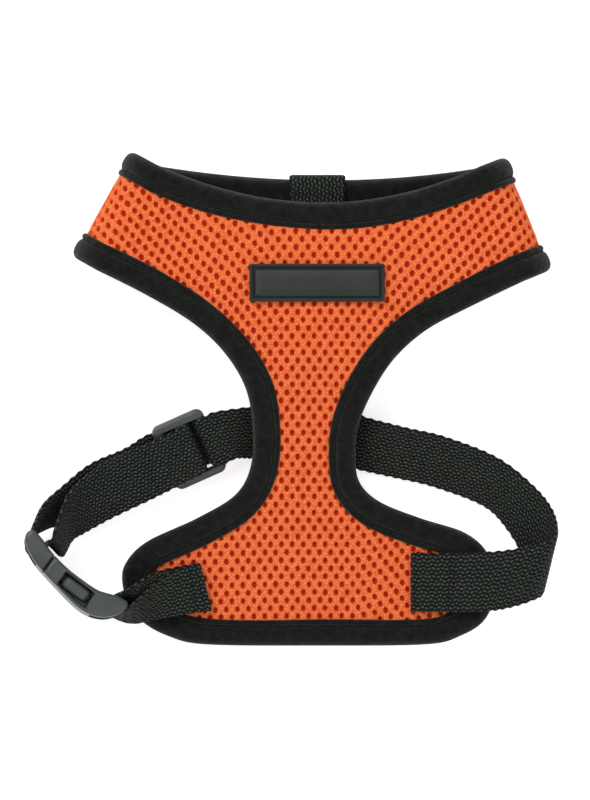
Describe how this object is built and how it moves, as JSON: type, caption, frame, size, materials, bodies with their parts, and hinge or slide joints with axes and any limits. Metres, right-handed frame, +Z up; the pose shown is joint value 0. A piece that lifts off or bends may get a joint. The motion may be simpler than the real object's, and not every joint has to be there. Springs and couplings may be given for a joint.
{
  "type": "dog harness",
  "caption": "Soft mesh dog harness laid flat: bound chest plate with folded neck band, girth strap with slide adjuster, side-release buckle and back D-ring.",
  "frame": {"origin": "on the resting surface, under the centre of the whole object's box", "axes": "+X across the harness, +Y along the chest plate towards the neck opening, +Z up from the resting surface, out of the chest side"},
  "size_m": [0.1849, 0.1719, 0.0292],
  "materials": {
    "mesh": "orange polyester spacer mesh with staggered oval holes",
    "binding": "black brushed knit binding",
    "webbing": "black polypropylene webbing, chevron weave",
    "thread": "black polyester thread",
    "badge_rubber": "satin moulded rubber",
    "plastic": "satin black acetal",
    "ring_metal": "nickel plated steel wire"
  },
  "bodies": {
    "root": {"chest_panel": "mesh", "neck_binding": "binding", "outer_binding": "binding", "binding_stitching": "thread", "badge": "badge_rubber", "back_strip": "webbing", "back_strip_stitching": "thread", "d_ring_keeper": "webbing", "girth_strap": "webbing", "right_patch_stitching": "thread", "buckle_run": "webbing", "buckle_tab": "webbing", "left_patch_stitching": "thread", "buckle_socket": "plastic"},
    "plug": {"buckle_plug": "plastic", "plug_loop": "webbing"},
    "latch_upper": {"latch_arm_upper": "plastic"},
    "latch_lower": {"latch_arm_lower": "plastic"},
    "slider": {"adjuster": "plastic", "adjuster_fold": "webbing", "adjuster_weave": "webbing"},
    "leash_ring": {"d_ring": "ring_metal"}
  },
  "joints": [
    {"name": "buckle_release", "type": "slide", "parent": "root", "child": "plug", "axis": [-0.809, 0.5878, 0], "range_m": [0, 0.022], "deforming": ["latch_arm_upper", "latch_arm_lower", "buckle_run"]},
    {"name": "latch_upper_squeeze", "type": "hinge", "parent": "plug", "child": "latch_upper", "pos_m": [-0.08321, -0.05793, 0.02267], "axis": [0.5864, 0.807, -0.0698], "range_deg": [0, 14], "stiffness_Nm_per_rad": 0.2},
    {"name": "latch_lower_squeeze", "type": "hinge", "parent": "plug", "child": "latch_lower", "pos_m": [-0.08385, -0.05881, 0.00711], "axis": [-0.5864, -0.807, 0.0698], "range_deg": [0, 14], "stiffness_Nm_per_rad": 0.2},
    {"name": "adjuster_slide", "type": "slide", "parent": "root", "child": "slider", "axis": [-0.9135, -0.4067, 0], "range_m": [0, 0.006]},
    {"name": "leash_ring_swing", "type": "hinge", "parent": "root", "child": "leash_ring", "pos_m": [0.0086, 0.027, 0.0025], "axis": [1, 0, 0], "range_deg": [0, 145]}
  ]
}
